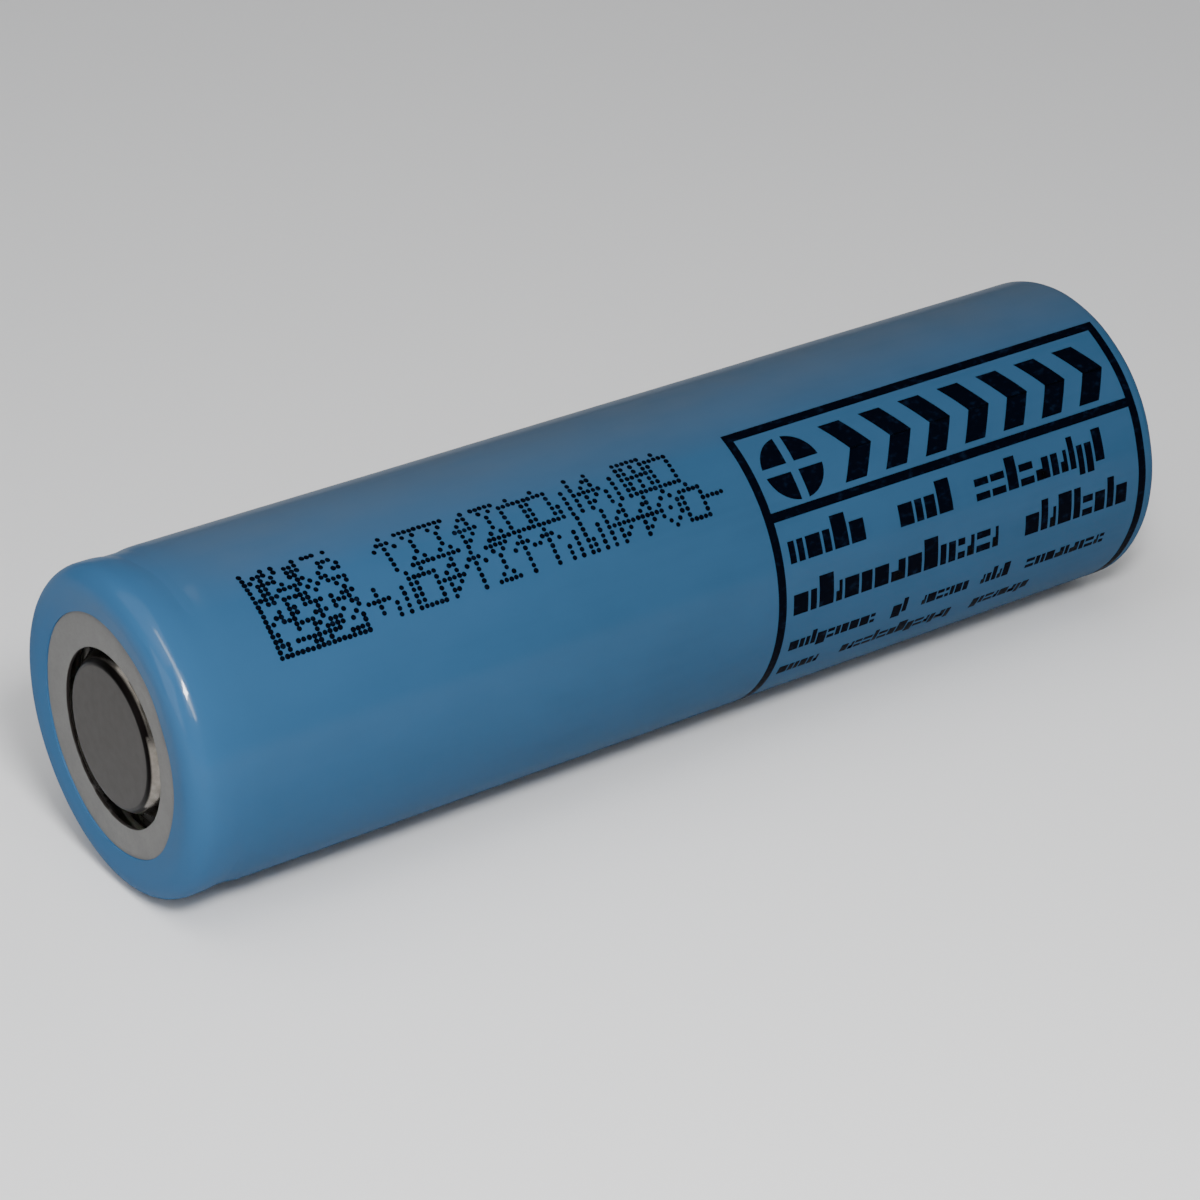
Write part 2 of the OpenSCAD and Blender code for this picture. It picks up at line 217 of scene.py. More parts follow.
class Surface:
    """A Principled material with short ways to add its patterns. Pattern sizes are in metres."""

    def __init__(self, name, **values):
        self.material = bpy.data.materials.new(name)
        self.material.use_nodes = True
        self.tree = self.material.node_tree
        self.shader = self.tree.nodes["Principled BSDF"]
        self.places = self.node("ShaderNodeTexCoord").outputs["Object"]
        for key, value in values.items():
            socket = self.shader.inputs[key.replace("_", " ")]
            socket.default_value = (*value, 1) if isinstance(value, tuple) else value

    def node(self, kind, **inputs):
        made = self.tree.nodes.new(kind)
        for key, value in inputs.items():
            self.put(made.inputs[key.replace("_", " ")], value)
        return made

    def put(self, socket, value):
        if isinstance(value, bpy.types.NodeSocket):
            self.tree.links.new(value, socket)
        else:
            socket.default_value = value

    def stretched(self, along, across):
        """Places scaled so that one unit is along metres on X and across metres on Y and Z."""
        mapping = self.node("ShaderNodeMapping", Vector=self.places)
        mapping.inputs["Scale"].default_value = (1 / along, 1 / across, 1 / across)
        return mapping.outputs["Vector"]

    def noise(self, along, across=None, detail=3.0, roughness=0.5):
        """Cloudy noise from 0 to 1, whose blobs are about along metres on X and across on Y and Z."""
        made = self.node("ShaderNodeTexNoise", Vector=self.stretched(along, across or along))
        made.inputs["Scale"].default_value = 1
        made.inputs["Detail"].default_value = detail
        made.inputs["Roughness"].default_value = roughness
        return made.outputs["Fac"]

    def grains(self, size):
        """Distance to the nearest of many scattered points, about size metres apart."""
        made = self.node("ShaderNodeTexVoronoi", Vector=self.stretched(size, size))
        made.inputs["Scale"].default_value = 1
        return made.outputs["Distance"]

    def radius(self, centre=(0, 0, AXIS_Z)):
        """Distance from the cell's axis, or from a line beside it through centre, in metres."""
        moved = self.maths("VECTOR", "SUBTRACT", self.places, centre)
        flat = self.maths("VECTOR", "MULTIPLY", moved, (0, 1, 1))
        made = self.node("ShaderNodeVectorMath")
        made.operation = "LENGTH"
        self.put(made.inputs[0], flat)
        return made.outputs["Value"]

    def distance(self, spot):
        """Distance from a spot, in metres."""
        made = self.node("ShaderNodeVectorMath")
        made.operation = "DISTANCE"
        self.put(made.inputs[0], self.places)
        self.put(made.inputs[1], spot)
        return made.outputs["Value"]

    def towards(self, turn):
        """Distance from the cell's axis in the direction of a turn round it, in metres."""
        made = self.node("ShaderNodeVectorMath")
        made.operation = "DOT_PRODUCT"
        self.put(made.inputs[0], self.maths("VECTOR", "SUBTRACT", self.places, (0, 0, AXIS_Z)))
        self.put(made.inputs[1], (0, -math.sin(math.radians(turn)), math.cos(math.radians(turn))))
        return made.outputs["Value"]

    def along(self):
        """Place along the cell's axis, in metres."""
        return self.node("ShaderNodeSeparateXYZ", Vector=self.places).outputs["X"]

    def maths(self, kind, operation, a, b):
        made = self.node("ShaderNodeVectorMath" if kind == "VECTOR" else "ShaderNodeMath")
        made.operation = operation
        self.put(made.inputs[0], a)
        self.put(made.inputs[1], b)
        return made.outputs[0]

    def fade(self, value, low, high, to_low=0.0, to_high=1.0):
        """Value mapped from low..high to to_low..to_high, held at both ends."""
        made = self.node("ShaderNodeMapRange", Value=value)
        made.inputs["From Min"].default_value = low
        made.inputs["From Max"].default_value = high
        made.inputs["To Min"].default_value = to_low
        made.inputs["To Max"].default_value = to_high
        return made.outputs["Result"]

    def blend(self, share, first, second):
        """The first colour where share is 0 and the second where it is 1."""
        made = self.node("ShaderNodeMix")
        made.data_type = "RGBA"
        made.clamp_factor = True
        for socket, value in zip((made.inputs[0], made.inputs[6], made.inputs[7]), (share, first, second)):
            self.put(socket, (*value, 1) if isinstance(value, tuple) else value)
        return made.outputs[2]

    def colour(self, value):
        self.put(self.shader.inputs["Base Color"], value)

    def roughness(self, value):
        self.put(self.shader.inputs["Roughness"], value)

    def bump(self, *layers):
        """Layers of (height from 0 to 1, metres), one on the other."""
        normal = None
        for height, distance in layers:
            made = self.node("ShaderNodeBump", Height=height)
            made.inputs["Strength"].default_value = 1
            made.inputs["Distance"].default_value = distance
            if normal is not None:
                self.put(made.inputs["Normal"], normal)
            normal = made.outputs["Normal"]
        self.put(self.shader.inputs["Normal"], normal)


# ---------------------------------------------------------------- materials


def floor_material():
    """Smooth pale studio card."""
    surface = Surface("floor_card", Roughness=0.9)
    surface.colour(surface.blend(surface.noise(0.15), (0.79, 0.79, 0.8), (0.82, 0.82, 0.82)))
    return surface.material


def film_material():
    """Blue shrink film, lighter where it is drawn thin over the positive end's shoulder, with painted light
    that brightens the wall towards the positive end.

    Its gloss is full where fingers have rubbed the shoulder, fair on the upper side and dull underneath.
    A brownish painted reflection lies along the upper back edge.
    """
    surface = Surface("shrink_film", Coat_Roughness=0.1, Specular_IOR_Level=0.0)
    deep, plain, thin = (0.021, 0.064, 0.126), (0.0235, 0.07, 0.138), (0.028, 0.092, 0.193)
    clouds = surface.fade(surface.noise(5 * MM, 3 * MM), 0.3, 0.7)
    streaks = surface.fade(surface.noise(14 * MM, 0.5 * MM, 2), 0.35, 0.75, 0, 0.45)
    body = surface.blend(streaks, surface.blend(clouds, deep, plain), plain)
    # Painted light: the wall is painted lighter over its last 30 mm towards the positive end.
    pale = surface.fade(surface.along(), END_X + 30 * MM, END_X + 3 * MM, 0, 0.45)
    ends = surface.fade(surface.along(), END_X + 4 * MM, END_X + 0.8 * MM)
    film = surface.blend(ends, surface.blend(pale, body, thin), thin)
    # Painted reflection: a brownish wash along the upper back edge of the wall.
    painted_top_reflection = surface.fade(surface.towards(-25), 0.6 * CELL_R, CELL_R, 0, 0.16)
    on_wall = surface.fade(surface.along(), END_X + 1.5 * MM, END_X + 7 * MM)
    painted_top_reflection = surface.maths("", "MULTIPLY", painted_top_reflection, on_wall)
    patches = surface.fade(surface.noise(3 * MM, 1.5 * MM, 4), 0.3, 0.7, 0.85, 1.15)
    surface.colour(surface.blend(surface.maths("", "MULTIPLY", painted_top_reflection, patches), film, (0.18, 0.137, 0.071)))
    scuffs = surface.fade(surface.noise(1.2 * MM, 0.12 * MM, 4), 0.62, 0.72, 0, 0.16)
    surface.roughness(surface.maths("", "ADD", scuffs, 0.33))
    shine = surface.fade(surface.distance(place(0.9 * MM, CELL_R, 48)), 4.2 * MM, 1.8 * MM)
    off_edge = surface.fade(surface.along(), END_X + 1.1 * MM, END_X + 1.5 * MM, 1, 0)
    on_edge = surface.fade(surface.along(), END_X + 0.5 * MM, END_X + 0.75 * MM)
    shine = surface.maths("", "MULTIPLY", shine, surface.maths("", "MULTIPLY", on_edge, off_edge))
    gloss = surface.fade(surface.towards(10), 0.2 * CELL_R, 0.95 * CELL_R, 0.14, 0.3)
    gloss = surface.maths("", "ADD", gloss, surface.fade(shine, 0, 1, 0, 0.65))
    surface.put(surface.shader.inputs["Coat Weight"], gloss)
    surface.bump(
        (surface.noise(0.45 * MM, detail=1), 1.5e-6),
        (surface.noise(9 * MM, 0.8 * MM, 2), 8e-6),
    )
    return surface.material


def ink_material():
    """Dull blue-black ink that the film's gloss shows through where it is thin."""
    surface = Surface("printed_ink", Specular_IOR_Level=0.01)
    thin = surface.fade(surface.noise(0.5 * MM, 0.3 * MM, 4), 0.55, 0.8)
    surface.colour(surface.blend(thin, (0.0007, 0.0014, 0.004), (0.003, 0.008, 0.02)))
    surface.roughness(surface.fade(surface.noise(0.2 * MM), 0.3, 0.7, 0.38, 0.55))
    surface.bump((surface.noise(0.09 * MM, detail=2), 3e-6))
    return surface.material


def fibre_material(name, hole_centre=None):
    """Dull pressed fibre paper with short darker fibres, and a near-black painted shade on the wall of a
    punched hole.
    """
    surface = Surface(name, Specular_IOR_Level=0.2)
    clouds = surface.fade(surface.noise(1.4 * MM), 0.3, 0.7)
    fibres = surface.fade(surface.noise(0.5 * MM, 0.08 * MM, 4), 0.55, 0.7, 0, 0.5)
    body = surface.blend(clouds, (0.134, 0.133, 0.13), (0.147, 0.146, 0.142))
    paper = surface.blend(fibres, body, (0.113, 0.11, 0.106))
    if hole_centre:
        # Painted shade: the wall of the punched hole is painted near black.
        face = surface.fade(surface.radius(hole_centre), RING_HOLE_R + 0.01 * MM, RING_HOLE_R + 0.045 * MM)
        paper = surface.blend(face, (0.012, 0.009, 0.008), paper)
    surface.colour(paper)
    surface.roughness(surface.fade(surface.noise(0.3 * MM), 0.3, 0.7, 0.75, 0.95))
    surface.bump((surface.noise(0.12 * MM, detail=4), 7e-6), (surface.noise(0.9 * MM), 8e-6))
    return surface.material


def metal_material(name, dark, light, rough, grain, stretch=1.0, dent=4e-6):
    """Plated or rolled metal: fine grain, cloudy colour and roughness, and a few rubbed bright spots."""
    surface = Surface(name, Metallic=1.0)
    clouds = surface.fade(surface.noise(1.6 * MM, detail=4), 0.3, 0.7)
    specks = surface.fade(surface.grains(0.5 * MM), 0.02, 0.12, 0.35, 0)
    surface.colour(surface.blend(specks, surface.blend(clouds, dark, light), light))
    wear = surface.fade(surface.noise(0.6 * MM, 0.6 * MM, 5), 0.35, 0.65, rough - 0.06, rough + 0.08)
    surface.roughness(wear)
    surface.bump((surface.noise(grain * stretch, grain, 3), dent))
    return surface.material


def cap_material():
    """Matt nickel with painted dark reflection: a near-black face, an almost black painted shade on the rounded
    edge that is left off at one leg, and brighter legs and flange.
    """
    surface = Surface("cap_nickel", Metallic=1.0)
    clouds = surface.fade(surface.noise(2.5 * MM, detail=4), 0.3, 0.7)
    # Painted dark reflection: the button's face is painted nearly black, far darker than the legs of the same
    # nickel.
    face = surface.blend(clouds, (0.0385, 0.0345, 0.0315), (0.0405, 0.0365, 0.0335))
    edge = surface.fade(surface.radius(), BUTTON_R - 0.15 * MM, BUTTON_R - 0.08 * MM)
    legs_x = END_X + CAP_U + BUTTON_EDGE
    legs = surface.fade(surface.along(), legs_x, legs_x + 0.12 * MM)
    # The painted shade on the rounded edge is left off round one leg.
    unshaded_leg_x = legs_x - BUTTON_EDGE / 2
    unshaded_leg_distance = surface.distance(place(CAP_U + BUTTON_EDGE, BUTTON_R, LEG_TURN - 5))
    unshaded_leg = surface.fade(unshaded_leg_distance, 2.45 * MM, 2.2 * MM)
    unshaded_leg = surface.maths("", "MULTIPLY", unshaded_leg, surface.fade(surface.along(), unshaded_leg_x, unshaded_leg_x + 0.08 * MM))
    legs = surface.maths("", "MAXIMUM", legs, unshaded_leg)
    tarnish = surface.fade(surface.noise(0.7 * MM, detail=4), 0.35, 0.65)
    drawn = surface.blend(tarnish, (0.15, 0.135, 0.115), (0.25, 0.23, 0.205))
    # Painted shade: the rounded edge of the button is painted almost black.
    rim = surface.blend(edge, face, (0.006, 0.005, 0.005))
    surface.colour(surface.blend(legs, rim, drawn))
    dull = surface.fade(surface.noise(0.6 * MM, detail=5), 0.35, 0.65, 0.39, 0.43)
    surface.roughness(surface.maths("", "SUBTRACT", dull, surface.fade(legs, 0, 1, 0, 0.2)))
    surface.bump((surface.noise(0.06 * MM), 1.2e-7), (surface.noise(2.2 * MM), 6e-7))
    return surface.material


def can_material():
    """Satin nickel plating on the drawn can, with a faint heat tint round the tab's weld."""
    surface = Surface("can_nickel", Metallic=1.0)
    clouds = surface.fade(surface.noise(2 * MM, detail=4), 0.3, 0.7)
    body = surface.blend(clouds, (0.56, 0.55, 0.53), (0.64, 0.63, 0.61))
    tint = surface.fade(surface.radius(), 0.8 * MM, 1.6 * MM, 0.45, 0)
    surface.colour(surface.blend(tint, body, (0.5, 0.42, 0.3)))
    rings = surface.node("ShaderNodeTexWave")
    rings.wave_type = "RINGS"
    rings.rings_direction = "X"
    surface.put(rings.inputs["Vector"], surface.maths("VECTOR", "SUBTRACT", surface.places, (0, 0, AXIS_Z)))
    rings.inputs["Scale"].default_value = 1200
    rings.inputs["Distortion"].default_value = 1.5
    surface.roughness(surface.fade(surface.noise(0.7 * MM, detail=5), 0.3, 0.7, 0.24, 0.38))
    surface.bump((rings.outputs["Fac"], 1.2e-6), (surface.noise(0.12 * MM), 2.5e-6))
    return surface.material


def plastic_material(name, colour, other, rough):
    """Moulded plastic with faint flow marks."""
    surface = Surface(name, Subsurface_Weight=0.15, Subsurface_Scale=0.3 * MM)
    flow = surface.fade(surface.noise(2.5 * MM, 1.2 * MM), 0.3, 0.7)
    surface.colour(surface.blend(flow, colour, other))
    surface.roughness(surface.fade(surface.noise(0.4 * MM), 0.3, 0.7, rough - 0.08, rough + 0.08))
    surface.bump((surface.noise(0.25 * MM), 5e-6))
    return surface.material


def coating_material(name, colour, other, shine):
    """Rolled powder coating on a foil: grainy, with faint lines along the winding."""
    surface = Surface(name, Specular_IOR_Level=shine)
    grain = surface.fade(surface.noise(0.05 * MM, detail=4), 0.35, 0.65)
    bands = surface.fade(surface.noise(0.3 * MM, 4 * MM), 0.3, 0.7, 0, 0.5)
    surface.colour(surface.blend(bands, surface.blend(grain, colour, other), other))
    surface.roughness(surface.fade(grain, 0, 1, 0.6, 0.85))
    surface.bump((surface.noise(0.03 * MM), 5e-6))
    return surface.material


def tape_material():
    """Glossy amber polyimide film over a cloudy layer of glue."""
    surface = Surface("amber_tape", Coat_Weight=0.4, Coat_Roughness=0.1)
    glue = surface.fade(surface.noise(0.8 * MM, detail=4), 0.35, 0.65)
    surface.colour(surface.blend(glue, (0.5, 0.23, 0.03), (0.62, 0.33, 0.06)))
    surface.roughness(surface.fade(glue, 0, 1, 0.22, 0.34))
    surface.bump((surface.noise(0.6 * MM), 6e-6))
    return surface.material


# ---------------------------------------------------------------- mesh tools


def fillet(corners, step=math.radians(9)):
    """Points of an outline through (u, r, rounding) corners, with each rounding drawn as an arc."""
    points = []
    last = len(corners) - 1
    for k, (u, r, rounding) in enumerate(corners):
        if rounding == 0 or k in (0, last):
            points.append((u, r))
            continue
        corner = Vector((u, r))
        before = (Vector(corners[k - 1][:2]) - corner).normalized()
        after = (Vector(corners[k + 1][:2]) - corner).normalized()
        half = before.angle(after) / 2
        centre = corner + (before + after).normalized() * (rounding / math.sin(half))
        start = corner + before * (rounding / math.tan(half)) - centre
        end = corner + after * (rounding / math.tan(half)) - centre
        sweep = start.angle(end)
        count = max(2, math.ceil(sweep / step))
        side = 1 if start.cross(end) > 0 else -1
        for n in range(count + 1):
            turn = side * sweep * n / count
            x = start.x * math.cos(turn) - start.y * math.sin(turn)
            y = start.x * math.sin(turn) + start.y * math.cos(turn)
            points.append((centre.x + x, centre.y + y))
    return points


def spaced(points, longest):
    """The same outline with its long stretches cut so that no step is longer than longest(u) metres."""
    made = [points[0]]
    for (u0, r0), (u1, r1) in zip(points, points[1:]):
        length = math.hypot(u1 - u0, r1 - r0)
        travelled = 0
        while length - travelled > 1e-9:
            u = u0 + (u1 - u0) * travelled / length
            travelled = min(length, travelled + longest(u))
            share = travelled / length
            made.append((u0 + (u1 - u0) * share, r0 + (r1 - r0) * share))
    return made


def place(u, r, turn):
    """The point at distance u from the positive end, radius r, and turn degrees from the top."""
    a = math.radians(turn)
    return (END_X + u, -r * math.sin(a), AXIS_Z + r * math.cos(a))


def add_piece(name, mesh, material, replaces=()):
    """Makes an object that rides on the cell with the given material, and hides the CAD parts it replaces."""
    piece = bpy.data.objects.new(name, mesh)
    mesh.materials.append(material)
    bpy.context.scene.collection.objects.link(piece)
    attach(piece, "root")
    if replaces:
        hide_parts(*replaces)
    return piece


def finished(bm, name, sharp=math.radians(40)):
    """A mesh from bm with its doubles merged, its faces turned outwards and its soft edges smooth."""
    bmesh.ops.remove_doubles(bm, verts=bm.verts, dist=1e-7)
    bmesh.ops.recalc_face_normals(bm, faces=bm.faces)
    mesh = bpy.data.meshes.new(name)
    bm.to_mesh(mesh)
    bm.free()
    mesh.shade_smooth()
    mesh.set_sharp_from_angle(angle=sharp)
    return mesh


def revolved(name, profile, count, closed, shape=None):
    """A mesh turned from a (u, r) profile. shape(u, r, turn) returns the changed u and r of a point."""
    bm = bmesh.new()
    rings = []
    for u, r in profile:
        ring = []
        for k in range(count):
            turn = 360 * k / count
            at = shape(u, r, turn) if shape else (u, r)
            ring.append(bm.verts.new(place(*at, turn)))
        rings.append(ring)
    pairs = list(zip(rings, rings[1:]))
    if closed:
        pairs.append((rings[-1], rings[0]))
    for low, high in pairs:
        for k in range(count):
            n = (k + 1) % count
            bm.faces.new((low[k], low[n], high[n], high[k]))
    return finished(bm, name)


def wave(turn, seed, lobes):
    """A smooth random wave around the cell, about -1 to 1, with up to lobes bumps in a turn."""
    draw = random.Random(seed)
    total = 0
    for _ in range(6):
        count = draw.randint(max(1, lobes // 3), lobes)
        total += math.cos(math.radians(turn) * count + draw.uniform(0, 2 * math.pi))
    return total / 3


def waist(u):
    """How far the film and the can's wall sink over the groove."""
    t = (u - GROOVE_U) / WAIST_HALF_L
    return WAIST_DEPTH * math.cos(math.pi / 2 * t) ** 2 if abs(t) < 1 else 0


def hump(distance, width):
    """A smooth bump of height 1 at distance 0 that falls to nothing over about width."""
    return math.exp(-((distance / width) ** 2))


# ---------------------------------------------------------------- the sleeve


def film_shape(u, r, turn):
    """The film's own unevenness: creases, puckers over the groove and at both lips, a wavy lip."""
    if r > CELL_R - 2 * TOP_ROUND:
        on_wall = min(1, max(0, (r - CELL_R + TOP_ROUND) / TOP_ROUND))
        pucker = 0.68 + 0.32 * math.cos(2 * math.radians(turn + 20)) + 0.1 * wave(turn, 3, 14)
        r -= waist(u) * pucker * on_wall
        for crease in CREASES:
            off = math.radians((turn - crease + 180) % 360 - 180) * CELL_R
            r += on_wall * (0.012 * MM * hump(off, 0.35 * MM) - 0.006 * MM * hump(off, 1.1 * MM))
        ends = hump(u - 1.6 * MM, 1.4 * MM) + 1.3 * hump(CELL_L - u - 0.8 * MM, 1.5 * MM)
        r += on_wall * 0.012 * MM * wave(turn, 7, 22) * ends
        r += on_wall * 0.006 * MM * (wave(turn, 11, 9) - 1) * math.cos(u / (3.1 * MM) + wave(turn, 5, 3))
    if u < TOP_ROUND and r > CELL_R - TOP_ROUND:
        corner = 2 * (1 - u / TOP_ROUND) * (r - CELL_R + TOP_ROUND) / TOP_ROUND
        full = 0.1 * MM * max(0, math.cos(math.radians(turn - 270))) ** 2 * corner
        u -= full
        r += full
    if u < 1.2 * MM and r < RIM_R + 0.6 * MM:
        towards_edge = min(1, max(0, (RIM_R + 0.6 * MM - r) / (1.6 * MM)))
        u += 0.01 * MM * wave(turn, 17, 14) * towards_edge
        shifted = 0.06 * MM + 0.1 * MM * math.cos(math.radians(turn - 270))
        r += (0.03 * MM * wave(turn, 19, 9) + shifted) * towards_edge**2
    if u > CELL_L - 0.3 * MM:
        towards_edge = min(1, max(0, (CELL_R - BOTTOM_ROUND - r) / (1.2 * MM)))
        u -= 0.015 * MM * (1 + wave(turn, 23, 34)) * towards_edge
        r += 0.07 * MM * wave(turn, 29, 12) * towards_edge**2
    return u, r


def film_r(u, turn):
    """Radius of the film's outer face on the straight wall."""
    return film_shape(u, CELL_R, turn)[1]


def sleeve_mesh():
    """The whole film: outer face from lip to lip, then back along its inner face."""
    edge = 0.03 * MM
    soft = 2 * MM
    rim_r = RIM_R - 0.1 * MM
    outer = [
        (LIP_DROP + FILM_T, LIP_R, 0),
        (LIP_DROP, LIP_R, edge),
        (0, rim_r, soft),
        (0, CELL_R, TOP_ROUND),
        (CELL_L, CELL_R, BOTTOM_ROUND),
        (CELL_L, BOTTOM_LIP_R, edge),
        (CELL_L - FILM_T, BOTTOM_LIP_R, 0),
    ]
    inner = [
        (CELL_L - FILM_T, BOTTOM_LIP_R, 0),
        (CELL_L - FILM_T, CELL_R - FILM_T, BOTTOM_ROUND - FILM_T),
        (FILM_T, CELL_R - FILM_T, TOP_ROUND - FILM_T),
        (FILM_T, rim_r, soft),
        (LIP_DROP + FILM_T, LIP_R, 0),
    ]

    def fine(u):
        near_end = u < 6 * MM or u > CELL_L - 3 * MM
        return 0.16 * MM if near_end else 0.6 * MM

    def coarse(u):
        return 0.3 * MM if u < 6 * MM else 8 * MM

    profile = spaced(fillet(outer, math.radians(7)), fine)
    back = spaced(fillet(inner, math.radians(15)), coarse)
    return revolved("shrink_sleeve_film", profile[:-1] + back[:-1], 360, True, film_shape)


# ---------------------------------------------------------------- the print on the sleeve

INK_RAISE = 0.014 * MM
INK_SINK = 0.03 * MM
# Length around the wall of one degree
DEGREE = math.radians(CELL_R)


class Print:
    """A layer of ink on the wall, drawn flat: u along the cell and turn around it, in degrees."""

    def __init__(self):
        self.bm = bmesh.new()

    def outline(self, points):
        """A filled shape whose corners are (u in metres, turn in degrees)."""
        vertices = [self.bm.verts.new((u, turn * DEGREE, 0)) for u, turn in points]
        self.bm.faces.new(vertices)

    def bar(self, u0, u1, turn0, turn1, slant=0.0):
        """A block, leaned by slant metres along the cell at its first edge."""
        self.outline([(u0 + slant, turn0), (u1 + slant, turn0), (u1, turn1), (u0, turn1)])

    def dot(self, u, turn, radius, sides=10):
        """A round dot."""
        steps = [2 * math.pi * k / sides for k in range(sides)]
        self.outline([(u + radius * math.cos(a), turn + radius * math.sin(a) / DEGREE) for a in steps])

    def mesh(self, name):
        """Cuts the flat layer into strips that can bend, thickens it and lays it on the film."""
        strip = 1.5 * DEGREE
        turns = [v.co.y for v in self.bm.verts]
        for k in range(math.ceil(min(turns) / strip), math.floor(max(turns) / strip) + 1):
            cut = self.bm.verts[:] + self.bm.edges[:] + self.bm.faces[:]
            bmesh.ops.bisect_plane(self.bm, geom=cut, dist=1e-8, plane_co=(0, k * strip, 0), plane_no=(0, 1, 0))
        faces = self.bm.faces[:]
        grown = bmesh.ops.extrude_face_region(self.bm, geom=faces, use_keep_orig=True)
        for item in grown["geom"]:
            if isinstance(item, bmesh.types.BMVert):
                item.co.z = 1
        for v in self.bm.verts:
            u, turn = v.co.x, v.co.y / DEGREE
            r = film_r(u, turn) + (INK_RAISE if v.co.z > 0.5 else -INK_SINK)
            v.co = place(u, r, turn)
        return finished(self.bm, name)


def from_middle(x_mm):
    """Distance from the positive end of a place x millimetres from the cell's middle."""
    return CELL_L / 2 + x_mm * MM


def code_block():
    """A square block of ink-jet dots in no particular order, closed along two edges."""
    draw = random.Random(41)
    layer = Print()
    rows, columns = 18, 18
    u0, u1, turn0, turn1 = from_middle(-26.0), from_middle(-20.7), 19.4, 50.8
    for row in range(rows):
        for column in range(columns):
            u = u0 + (u1 - u0) * column / (columns - 1) + draw.uniform(-0.02, 0.02) * MM
            turn = turn0 + (turn1 - turn0) * row / (rows - 1) + draw.uniform(-0.12, 0.12)
            edge = column == 0 or row == rows - 1
            if draw.random() < 0.5 or edge:
                layer.dot(u, turn, draw.uniform(0.14, 0.16) * MM)
    return layer.mesh("print_code_block")


# Generic ink-jet marks on a grid of 5 by 7 dots. None of them is a letter or a number.
MARKS = {
    "cell": ("..#..", "#####", "#...#", "#...#", "#...#", "#...#", "#####"),
    "ladder": ("#...#", "#####", "#...#", "#####", "#...#", "#####", "#...#"),
    "bars": ("....#", "....#", "..#.#", "..#.#", "#.#.#", "#.#.#", "#.#.#"),
    "arrow": ("..#..", ".###.", "#.#.#", "..#..", "..#..", "..#..", "..#.."),
    "window": ("#####", "#.#.#", "#.#.#", "#####", "#.#.#", "#.#.#", "#####"),
    "bolt": ("...#.", "..##.", ".#.#.", "#####", ".#.#.", ".##..", ".#..."),
    "diamond": ("..#..", ".#.#.", "#...#", "#.#.#", "#...#", ".#.#.", "..#.."),
    "glass": ("#####", ".#.#.", "..#..", "..#..", "..#..", ".#.#.", "#####"),
    "plus": (".....", "..#..", "..#..", "#####", "..#..", "..#..", "....."),
    "dash": (".....", ".....", ".....", "####.", ".....", ".....", "....."),
}


def dotted_line(name, marks, u0, pitch, turn0, turn1):
    """A row of ink-jet marks, one each pitch metres along the cell."""
    draw = random.Random(name)
    layer = Print()
    rows, columns = 7, 5
    step = pitch * 0.78 / (columns - 1)
    for n, mark in enumerate(marks):
        for row, dots in enumerate(MARKS.get(mark, ())):
            for column, dot in enumerate(dots):
                if dot == "#":
                    u = u0 + n * pitch + column * step + draw.uniform(-0.015, 0.015) * MM
                    turn = turn0 + (turn1 - turn0) * row / (rows - 1) + draw.uniform(-0.1, 0.1)
                    layer.dot(u, turn, draw.uniform(0.135, 0.155) * MM)
    return layer.mesh(name)


PANEL_U = (from_middle(4.45), from_middle(31.66))
PANEL_LINE = 0.54 * MM


def panel_frame():
    """A framed panel with a line under its heading. It runs down round the hidden side."""
    layer = Print()
    top, divider, bottom = 23.0, 55.6, 168.0
    line = PANEL_LINE / DEGREE
    u0, u1 = PANEL_U
    layer.bar(u0, u1, top, top + line)
    layer.bar(u0, u0 + PANEL_LINE, top + line, divider)
    layer.bar(u1 - PANEL_LINE, u1, top + line, divider)
    layer.bar(u0, u1, divider, divider + line)
    layer.bar(u0, u0 + PANEL_LINE, divider + line, bottom)
    layer.bar(u1 - PANEL_LINE, u1, divider + line, bottom)
    layer.bar(u0, u1, bottom, bottom + line)
    return layer.mesh("print_panel_frame")


def panel_icon():
    """A polarity sign: a round disc with a plus left open in it."""
    layer = Print()
    middle_u, middle_turn = from_middle(7.55), 42.0
    radius, gap = 1.95 * MM, 0.27 * MM
    steps = 10
    for quarter in range(4):
        sx = 1 if quarter in (0, 3) else -1
        sy = 1 if quarter in (0, 1) else -1
        start = math.asin(gap / radius)
        points = [(gap, gap)]
        for k in range(steps + 1):
            a = start + (math.pi / 2 - 2 * start) * k / steps
            points.append((radius * math.cos(a), radius * math.sin(a)))
        layer.outline([(middle_u + sx * x, middle_turn + sy * y / DEGREE) for x, y in points])
    return layer.mesh("print_panel_icon")


def panel_heading():
    """Seven bold arrowheads that point from the positive end to the negative one."""
    layer = Print()
    first, last, count = from_middle(10.4), from_middle(30.6), 7
    turn0, turn1 = 30.8, 53.4
    pitch = (last - first) / count
    stroke, depth = pitch * 0.52, pitch * 0.42
    middle = (turn0 + turn1) / 2
    for n in range(count):
        u = first + n * pitch
        layer.outline([(u, turn0), (u + stroke, turn0), (u + stroke + depth, middle), (u + depth, middle)])
        layer.outline([(u + depth, middle), (u + stroke + depth, middle), (u + stroke, turn1), (u, turn1)])
    return layer.mesh("print_panel_heading")


